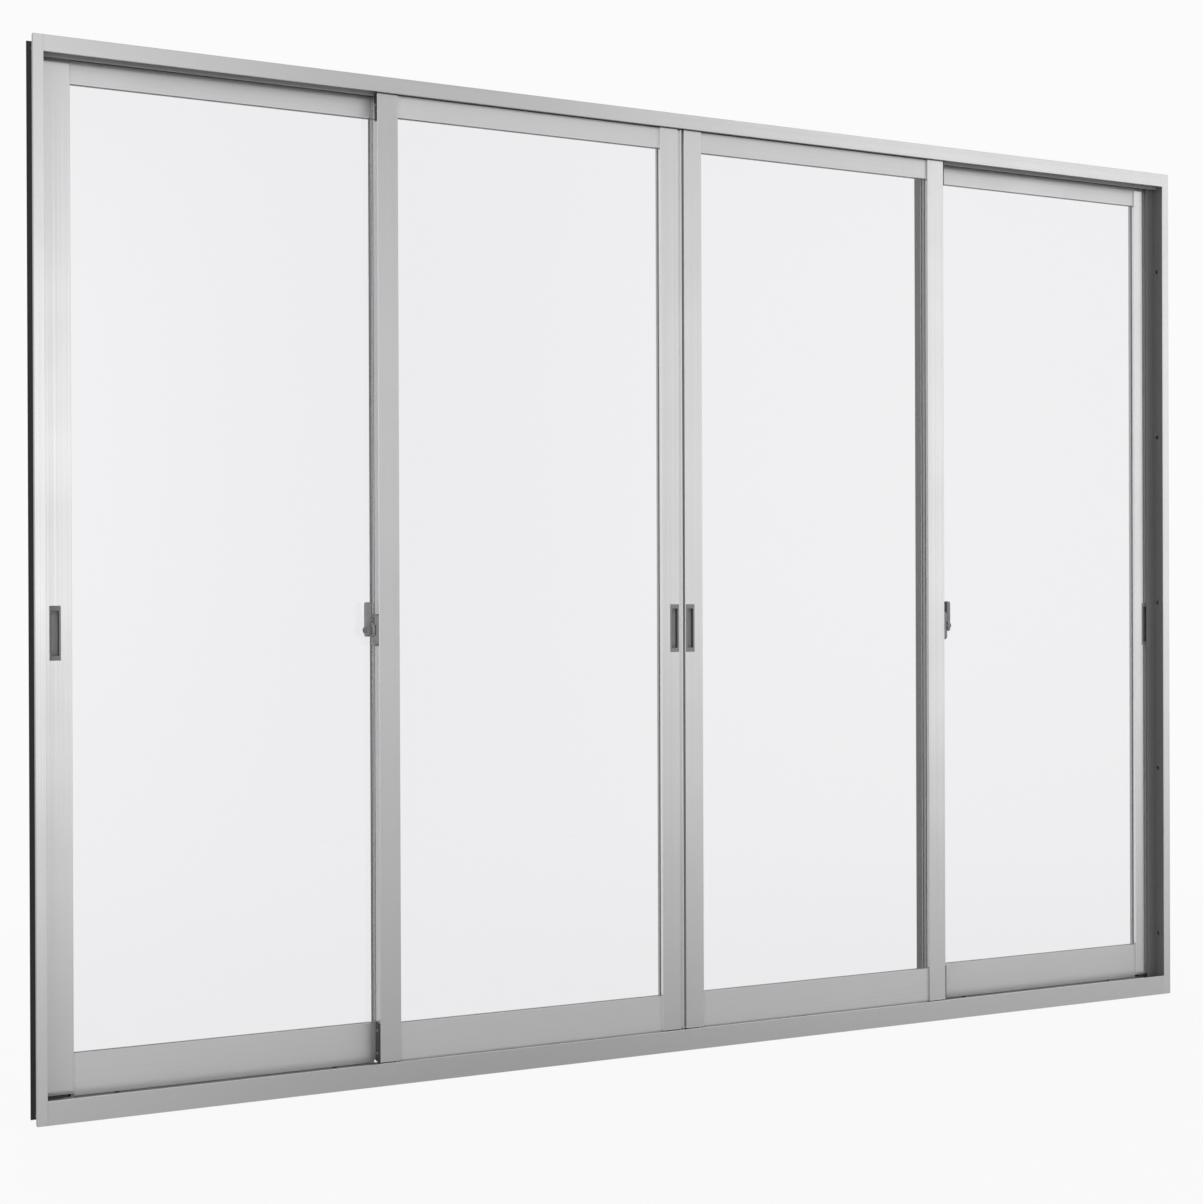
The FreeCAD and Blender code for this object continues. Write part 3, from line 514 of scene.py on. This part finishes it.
def extrude(move):
    """Extrude the selected faces by a vector."""
    bpy.ops.mesh.extrude_region_move(TRANSFORM_OT_translate={"value": move})


def round_edges(piece, width):
    """Round a piece's sharp edges and shade it smooth between them."""
    bpy.ops.object.mode_set(mode="OBJECT")
    modifier = piece.modifiers.new("rounded_edges", "BEVEL")
    modifier.width = width
    modifier.segments = 2
    modifier.limit_method = "ANGLE"
    bpy.ops.object.modifier_apply(modifier=modifier.name)
    bpy.ops.object.shade_smooth_by_angle(angle=SMOOTH_ANGLE)


def settle(piece, material, body):
    """Give a finished piece its material and its body."""
    piece.data.materials.clear()
    piece.data.materials.append(material)
    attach(piece, body)


# Head channel: how far its guide fins' ends lie over the node's bottom, and how far they are lifted
GUIDE_END = 0.0012
GUIDE_RISE = 0.014
MERGE_DISTANCE = 0.00001


def add_head_channel():
    """Head track whose guide fins end higher up, so that they stay out of the gap over the leaves."""
    track = nodes["head_track"]
    channel = bpy.data.objects.new("head_channel", track.data.copy())
    bpy.context.scene.collection.objects.link(channel)
    bpy.ops.object.select_all(action="DESELECT")
    channel.select_set(True)
    bpy.context.view_layer.objects.active = channel
    bpy.ops.object.mode_set(mode="EDIT")
    bpy.ops.mesh.select_all(action="SELECT")
    bpy.ops.mesh.remove_doubles(threshold=MERGE_DISTANCE)
    bpy.ops.mesh.select_mode(type="VERT")
    bpy.ops.mesh.select_all(action="DESELECT")
    bpy.ops.object.mode_set(mode="OBJECT")
    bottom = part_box("head_track")[0][2]
    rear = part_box("leaf_1_glass")[1][1]
    for vertex in channel.data.vertices:
        vertex.select = vertex.co.z < bottom + GUIDE_END and vertex.co.y < rear
    bpy.ops.object.mode_set(mode="EDIT")
    bpy.ops.transform.translate(value=(0.0, 0.0, GUIDE_RISE))
    bpy.ops.object.mode_set(mode="OBJECT")
    settle(channel, head_coat, "frame")
    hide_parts("head_track")


# Wall strips: the wall fins stand out past the jambs' webs, set back from the jambs' rear
FIN_WIDTH = 0.010
FIN_SETBACK = 0.010
STRIP_THICKNESS = 0.0008
STRIP_LIP = 0.002
STRIP_ROUNDING = 0.0001


def add_wall_strips():
    """Black rubber strip on the indoor face of each side's wall fin."""
    for side, left_end in (("left", cad_low[0]), ("right", cad_high[0] - FIN_WIDTH)):
        fin_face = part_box(side + "_jamb")[1][1] - FIN_SETBACK
        strip = start_box(
            side + "_wall_strip", (left_end, fin_face - STRIP_THICKNESS, cad_low[2]),
            (left_end + FIN_WIDTH, fin_face, cad_high[2]))
        edit_faces(strip, (0.0, -1.0, 0.0))
        bpy.ops.mesh.inset(thickness=STRIP_LIP)
        bpy.ops.transform.translate(value=(0.0, STRIP_THICKNESS / 2, 0.0))
        round_edges(strip, STRIP_ROUNDING)
        settle(strip, wall_rubber, "frame")


# Brush seals
BACKING = 0.0010
PILE_MARGIN = 0.0008
PILE_TIP = 0.55
PILE_ROUNDING = 0.0002
PILE_BOTTOM = 0.052
PILE_TOP = 2.163
PILE_WIDTH = 0.006
PILE_REACH = 0.005

# Pile between the meeting stiles: where it starts and ends in depth
MEETING_FRONT = -0.021
MEETING_REAR = -0.013

# Pile behind the overlaps: how far in from the front leaves' outer edges it starts
OVERLAP_SETBACK = 0.016

# Pile behind the jambs' fins: side, middle and width
JAMB_PILES = (("left", -1.476, 0.005), ("right", 1.456, PILE_WIDTH))

# Piles under the rear leaves, black so that they also stand in as painted shade for the sill's recess: from
# the stile's or rail's outdoor face, and how far they hang down
CORNER_NEAR = 0.009
CORNER_FAR = 0.001
CORNER_DROP = 0.0125
BOTTOM_DEPTH = 0.004
BOTTOM_DROP = 0.0065


def brush_seal(name, low, high, towards, body, material=dark_pile):
    """Strip of backing with a tufted pile that narrows to its tip, pointing one way."""
    axis = next(index for index in range(3) if towards[index])
    across = min((index for index in range(3) if index != axis), key=lambda index: high[index] - low[index])
    back_low, back_high = list(low), list(high)
    if towards[axis] > 0:
        back_high[axis] = low[axis] + BACKING
    else:
        back_low[axis] = high[axis] - BACKING
    strip = start_box(name, back_low, back_high)
    edit_faces(strip, towards)
    bpy.ops.mesh.inset(thickness=PILE_MARGIN)
    reach = high[axis] - low[axis] - BACKING
    extrude([value * reach for value in towards])
    narrowed = [1.0, 1.0, 1.0]
    narrowed[across] = PILE_TIP
    bpy.ops.transform.resize(value=narrowed)
    round_edges(strip, PILE_ROUNDING)
    settle(strip, material, body)


def add_brush_seals():
    """Pile between the meeting stiles, behind the overlaps and the jambs' fins, and under the rear leaves,
    where the black pile also stands in as painted shade for the sill's recess.
    """
    meeting = edge_of("leaf_3_left_stile", LEFT)
    brush_seal(
        "leaf_3_meeting_pile", (meeting - PILE_REACH, MEETING_FRONT, PILE_BOTTOM),
        (meeting, MEETING_REAR, PILE_TOP), (-1.0, 0.0, 0.0), "leaf_3", grey_pile)
    outdoors = (0.0, 1.0, 0.0)
    plane_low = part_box("leaf_2_left_stile")[1][1]
    plane_high = plane_low + PILE_REACH
    for number, side in FRONT_LEAVES:
        leaf = "leaf_%d" % number
        near = edge_of("%s_%s_stile" % (leaf, SIDE_NAMES[side]), side) - side * OVERLAP_SETBACK
        far = near - side * PILE_WIDTH
        brush_seal(
            leaf + "_overlap_pile", (min(near, far), plane_low, PILE_BOTTOM),
            (max(near, far), plane_high, PILE_TOP), outdoors, leaf)
    for side, middle, width in JAMB_PILES:
        brush_seal(
            side + "_jamb_pile", (middle - width / 2, plane_low, PILE_BOTTOM),
            (middle + width / 2, plane_high, PILE_TOP), outdoors, "frame", grey_pile)
    # Black pile under the rear leaves: a brush seal that also stands in as painted shade for the sill's
    # recess
    down = (0.0, 0.0, -1.0)
    for number, side in REAR_LEAVES:
        leaf = "leaf_%d" % number
        low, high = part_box("%s_%s_stile" % (leaf, SIDE_NAMES[side]))
        brush_seal(
            leaf + "_corner_pile", (low[0], high[1] - CORNER_NEAR, low[2] - CORNER_DROP),
            (high[0], high[1] - CORNER_FAR, low[2]), down, leaf)
        low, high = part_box(leaf + "_bottom_rail")
        brush_seal(
            leaf + "_bottom_shade_pile", (low[0], high[1] - BOTTOM_DEPTH, low[2] - BOTTOM_DROP),
            (high[0], high[1], low[2]), down, leaf)


# Screws
SCREW_SIDES = 24
SCREW_RADIUS = 0.0030
SCREW_RIM = 0.0008
SCREW_CROWN = 0.0007
# Steps up to the crown: inset as a share of the radius, rise as a share of the crown
CROWN_STEPS = ((0.25, 0.7), (0.30, 0.3))
CROSS_LENGTH = SCREW_RADIUS * 0.62
CROSS_WIDTH = SCREW_RADIUS * 0.13
CROSS_BOTTOM = SCREW_RIM * 0.8


def cut_away(piece, cutter):
    """Cut one mesh from another and delete the cutter."""
    bpy.ops.object.select_all(action="DESELECT")
    piece.select_set(True)
    bpy.context.view_layer.objects.active = piece
    modifier = piece.modifiers.new("cut", "BOOLEAN")
    modifier.operation = "DIFFERENCE"
    modifier.solver = "EXACT"
    modifier.object = cutter
    bpy.ops.object.modifier_apply(modifier=modifier.name)
    bpy.data.objects.remove(cutter, do_unlink=True)


def shape_screw():
    """Pan-head screw with a cross recess, standing on the origin with its head up."""
    bpy.ops.object.select_all(action="DESELECT")
    bpy.ops.mesh.primitive_cylinder_add(
        vertices=SCREW_SIDES, radius=SCREW_RADIUS, depth=SCREW_RIM, location=(0.0, 0.0, SCREW_RIM / 2))
    screw = bpy.context.object
    bpy.ops.object.transform_apply(location=True, rotation=True, scale=True)
    edit_faces(screw, (0.0, 0.0, 1.0))
    for inset_share, rise_share in CROWN_STEPS:
        bpy.ops.mesh.inset(thickness=SCREW_RADIUS * inset_share)
        bpy.ops.transform.translate(value=(0.0, 0.0, SCREW_CROWN * rise_share))
    bpy.ops.object.mode_set(mode="OBJECT")
    for half_x, half_y in ((CROSS_LENGTH, CROSS_WIDTH), (CROSS_WIDTH, CROSS_LENGTH)):
        cutter = start_box("screw_cross", (-half_x, -half_y, CROSS_BOTTOM), (half_x, half_y, SCREW_RADIUS))
        cut_away(screw, cutter)
    bpy.ops.object.shade_smooth_by_angle(angle=SMOOTH_ANGLE)
    return screw


def set_screws(pattern, name, body, side, size, places, material=screw_zinc):
    """Copy the screw to each place with its head facing left or right."""
    turn = Vector((side, 0.0, 0.0)).to_track_quat("Z", "Y").to_matrix().to_4x4()
    for number, place in enumerate(places, start=1):
        screw = pattern.copy()
        screw.data = pattern.data.copy()
        screw.name = "%s_screw_%d" % (name, number)
        bpy.context.scene.collection.objects.link(screw)
        screw.data.transform(Matrix.Translation(place) @ turn @ Matrix.Scale(size, 4))
        settle(screw, material, body)


# Locks: the screws stand over and under the lever's pin
LOCK_HEIGHT = 0.994
LOCK_PLATE = 0.009
LOCK_SPACING = 0.0255
PIN_DEPTH = -0.0112
LOCK_SCREW = 1.0
PIN_SCREW = 0.9

# Edge caps: depth and height of each screw
CAP_PLACES = ((-0.0235, 2.140), (-0.0155, 0.068), (-0.0155, 0.118))
CAP_SCREW = 0.9


def set_lock_screws(pattern):
    """Screws of the lock's base, the lever's pin and the edge caps of the front leaves."""
    for number, side in FRONT_LEAVES:
        leaf = "leaf_%d" % number
        base = leaf + "_crescent_base"
        low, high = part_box(base)
        middle = (low[1] + high[1]) / 2
        face = edge_of(base, -side) + side * LOCK_PLATE
        set_screws(pattern, leaf + "_lock", leaf, side, LOCK_SCREW, [
            (face, middle, LOCK_HEIGHT - LOCK_SPACING), (face, middle, LOCK_HEIGHT + LOCK_SPACING)])
        set_screws(pattern, leaf + "_lock_pin", leaf, side, PIN_SCREW, [
            (edge_of(base, side), PIN_DEPTH, LOCK_HEIGHT)], material=roller_plastic)
        outer = edge_of(leaf + "_edge_caps", side)
        set_screws(pattern, leaf + "_edge_cap", leaf, side, CAP_SCREW, [
            (outer, depth, height) for depth, height in CAP_PLACES])


KEEPER_PLATE = 0.004
KEEPER_DEPTH = 0.0070
KEEPER_SPACING = 0.013
KEEPER_SCREW = 0.8


def set_keeper_screws(pattern):
    """Two screws in each keeper's plate."""
    for number, side in REAR_LEAVES:
        leaf = "leaf_%d" % number
        face = edge_of(leaf + "_keeper", -side) + side * KEEPER_PLATE
        set_screws(pattern, leaf + "_keeper", leaf, side, KEEPER_SCREW, [
            (face, KEEPER_DEPTH, LOCK_HEIGHT - KEEPER_SPACING),
            (face, KEEPER_DEPTH, LOCK_HEIGHT + KEEPER_SPACING)])


# Leaf corners: the middle depth of each track's leaves, and the screws' heights
FRONT_MIDDLE = -0.0075
REAR_MIDDLE = 0.0245
CORNER_HEIGHTS = (0.070, 0.112, 2.138)
CORNER_SCREW = 1.2

# Frame corners
FRAME_DEPTHS = (-0.026, 0.004, 0.020)
FRAME_HEIGHTS = (0.009, 2.184)
FRAME_SCREW = 1.3


def set_corner_screws(pattern):
    """Screws that join the stiles to the rails and the jambs to the head and sill."""
    for number, side, depth in ((1, LEFT, REAR_MIDDLE), (3, LEFT, FRONT_MIDDLE), (4, RIGHT, REAR_MIDDLE)):
        leaf = "leaf_%d" % number
        edge = edge_of("%s_%s_stile" % (leaf, SIDE_NAMES[side]), side)
        set_screws(pattern, leaf + "_corner", leaf, side, CORNER_SCREW, [
            (edge, depth, height) for height in CORNER_HEIGHTS])
    for side in (LEFT, RIGHT):
        outer = side * (cad_high[0] - FIN_WIDTH)
        set_screws(pattern, SIDE_NAMES[side] + "_frame_corner", "frame", side, FRAME_SCREW, [
            (outer, depth, height) for height in FRAME_HEIGHTS for depth in FRAME_DEPTHS])


def add_screws():
    """Screws of the locks, keepers, edge caps, leaf corners and frame corners."""
    pattern = shape_screw()
    set_lock_screws(pattern)
    set_keeper_screws(pattern)
    set_corner_screws(pattern)
    bpy.data.objects.remove(pattern, do_unlink=True)


# Studio
WHITE = (0.965, 0.965, 0.97, 1.0)
AMBIENT = (0.62, 0.62, 0.62, 1.0)

# Levels by the height of the reflected direction, in degrees over the horizon
LOW_LEVEL = ((-90, 0.22), (-30, 0.32), (-14, 0.38), (-9, 0.355), (90, 0.35))
FLOOR_SHARE = ((-90, 1.0), (-17, 1.0), (-15, 0.8), (-13, 0.25), (-11, 0.05), (-8, 0.0), (90, 0.0))
RISE_ON_LEFT = (
    (-12.7, 0.0), (-11.1, 0.14), (-8.5, 0.30), (-5.2, 0.53), (-1.8, 0.77), (1.5, 0.96), (4.9, 1.0),
    (8.2, 0.96), (11.5, 0.68), (13.8, 0.34), (15.5, 0.20), (35, 0.18), (90, 0.15))
RISE_ON_RIGHT = (
    (-10.2, 0.0), (-8.5, 0.22), (-6.5, 0.48), (-4.0, 0.71), (-1.4, 0.88), (1.2, 0.94), (5.0, 0.98),
    (8.8, 0.97), (10.6, 0.91), (12.0, 0.82), (15.0, 0.64), (35, 0.40), (90, 0.22))
# Levels by the reflected direction's turn from straight indoors towards the right, in degrees
BRIGHTNESS = (
    (-180, 0.12), (-120, 0.12), (-60, 0.60), (5, 1.15), (12.4, 1.02), (17, 0.40), (21.3, 0.0),
    (25, 0.16), (29.4, 0.53), (33, 0.68), (36.7, 0.76), (42.4, 0.60), (60, 0.54), (120, 0.36), (180, 0.12))
FLOOR_DIP = (
    (-180, 0.0), (12.4, 0.0), (17, 0.05), (21, 0.22), (25, 0.27), (29.4, 0.26), (33, 0.23), (36.7, 0.13),
    (42.4, 0.0), (180, 0.0))
RIGHT_SHARE = ((-180, 0.5), (0, 0.0), (12.4, 0.0), (42.4, 1.0), (180, 0.5))


def background(tree, colour):
    """World background of one colour."""
    node = tree.nodes.new("ShaderNodeBackground")
    node.inputs["Color"].default_value = colour
    return node


def add_world():
    """Pale studio: white for the camera, soft broad lights round the room for reflections."""
    world = bpy.data.worlds.new("studio")
    bpy.context.scene.world = world
    world.use_nodes = True
    tree = world.node_tree
    tree.nodes.clear()
    direction = axes(tree, tree.nodes.new("ShaderNodeTexCoord").outputs["Generated"])
    height = maths(tree, "MULTIPLY", maths(tree, "ADD", direction["Z"], 1.0), 0.5)
    turn = maths(tree, "ARCTAN2", direction["X"], maths(tree, "MULTIPLY", direction["Y"], -1.0))
    turn = maths(tree, "ADD", maths(tree, "DIVIDE", turn, math.tau), 0.5)

    def by_height(stops):
        return ramp(
            tree, height, [((math.sin(math.radians(where)) + 1) / 2, level) for where, level in stops])

    def by_turn(stops):
        return ramp(tree, turn, [(where / 360 + 0.5, level) for where, level in stops])

    share = by_turn(RIGHT_SHARE)
    from_right = maths(tree, "MULTIPLY", by_height(RISE_ON_RIGHT), share)
    from_left = maths(tree, "MULTIPLY", by_height(RISE_ON_LEFT), maths(tree, "SUBTRACT", 1.0, share))
    rise = maths(tree, "MULTIPLY", maths(tree, "ADD", from_left, from_right), by_turn(BRIGHTNESS))
    dip = maths(tree, "MULTIPLY", by_height(FLOOR_SHARE), by_turn(FLOOR_DIP))
    steady = maths(tree, "SUBTRACT", by_height(LOW_LEVEL), dip)
    reflected = background(tree, (1.0, 1.0, 1.0, 1.0))
    link(tree, maths(tree, "ADD", steady, rise), reflected.inputs["Strength"])

    path = tree.nodes.new("ShaderNodeLightPath")
    lit = blend_shaders(
        tree, path.outputs["Is Glossy Ray"], background(tree, AMBIENT).outputs["Background"],
        reflected.outputs["Background"])
    seen = blend_shaders(
        tree, looked_at(tree, path), lit, background(tree, WHITE).outputs["Background"])
    output = tree.nodes.new("ShaderNodeOutputWorld")
    link(tree, seen, output.inputs["Surface"])


FLOOR_SIZE = 24.0
FLOOR_DROP = 0.0005
FLOOR_PAINT = (0.80, 0.80, 0.80, 1.0)
SHADOW_SHARE = 0.05
SHADOW_START = 1.5
SHADOW_END = 4.5


def add_floor():
    """Pale floor that keeps a trace of the door's shadow and fades into the backdrop."""
    bpy.ops.object.select_all(action="DESELECT")
    bpy.ops.mesh.primitive_plane_add(size=FLOOR_SIZE, location=(0.0, 0.0, -FLOOR_DROP))
    floor = bpy.context.object
    floor.name = "studio_floor"
    material = bpy.data.materials.new("studio_floor")
    material.use_nodes = True
    tree = material.node_tree
    tree.nodes.clear()
    away = tree.nodes.new("ShaderNodeVectorMath")
    away.operation = "LENGTH"
    link(tree, object_place(tree), away.inputs[0])
    fade = tree.nodes.new("ShaderNodeMapRange")
    fade.interpolation_type = "SMOOTHSTEP"
    for label, value in (("From Min", SHADOW_START), ("From Max", SHADOW_END),
                         ("To Min", 1.0 - SHADOW_SHARE), ("To Max", 1.0)):
        fade.inputs[label].default_value = value
    link(tree, away.outputs["Value"], fade.inputs["Value"])
    paint = tree.nodes.new("ShaderNodeBsdfDiffuse")
    paint.inputs["Color"].default_value = FLOOR_PAINT
    white = tree.nodes.new("ShaderNodeEmission")
    white.inputs["Color"].default_value = WHITE
    seen = looked_at(tree, tree.nodes.new("ShaderNodeLightPath"))
    mixed = blend_shaders(
        tree, maths(tree, "MULTIPLY", seen, fade.outputs["Result"]), paint.outputs["BSDF"],
        white.outputs["Emission"])
    output = tree.nodes.new("ShaderNodeOutputMaterial")
    link(tree, mixed, output.inputs["Surface"])
    floor.data.materials.append(material)
    floor.visible_glossy = False


LAMP_POWER = 90.0
LAMPS = (
    ("left_lamp", (-4.5, -3.5, 3.6), 2.5),
    ("right_lamp", (4.5, -3.5, 3.6), 2.5),
    ("rear_lamp", (0.0, 4.5, 3.8), 2.8),
)


def add_lamps():
    """Two soft square lamps over the indoor side and one over the outdoor side, aimed at the door."""
    door_middle = (Vector(cad_low) + Vector(cad_high)) / 2
    for name, place, size in LAMPS:
        data = bpy.data.lights.new(name, "AREA")
        data.size = size
        data.energy = LAMP_POWER
        lamp = bpy.data.objects.new(name, data)
        bpy.context.scene.collection.objects.link(lamp)
        lamp.location = place
        lamp.rotation_euler = (door_middle - Vector(place)).to_track_quat("-Z", "Y").to_euler()
        lamp.visible_glossy = False
        lamp.visible_transmission = False


add_camera()
finish_nodes()
add_head_channel()
add_wall_strips()
add_brush_seals()
add_screws()
add_world()
add_floor()
add_lamps()

bpy.context.scene.view_settings.view_transform = "Standard"
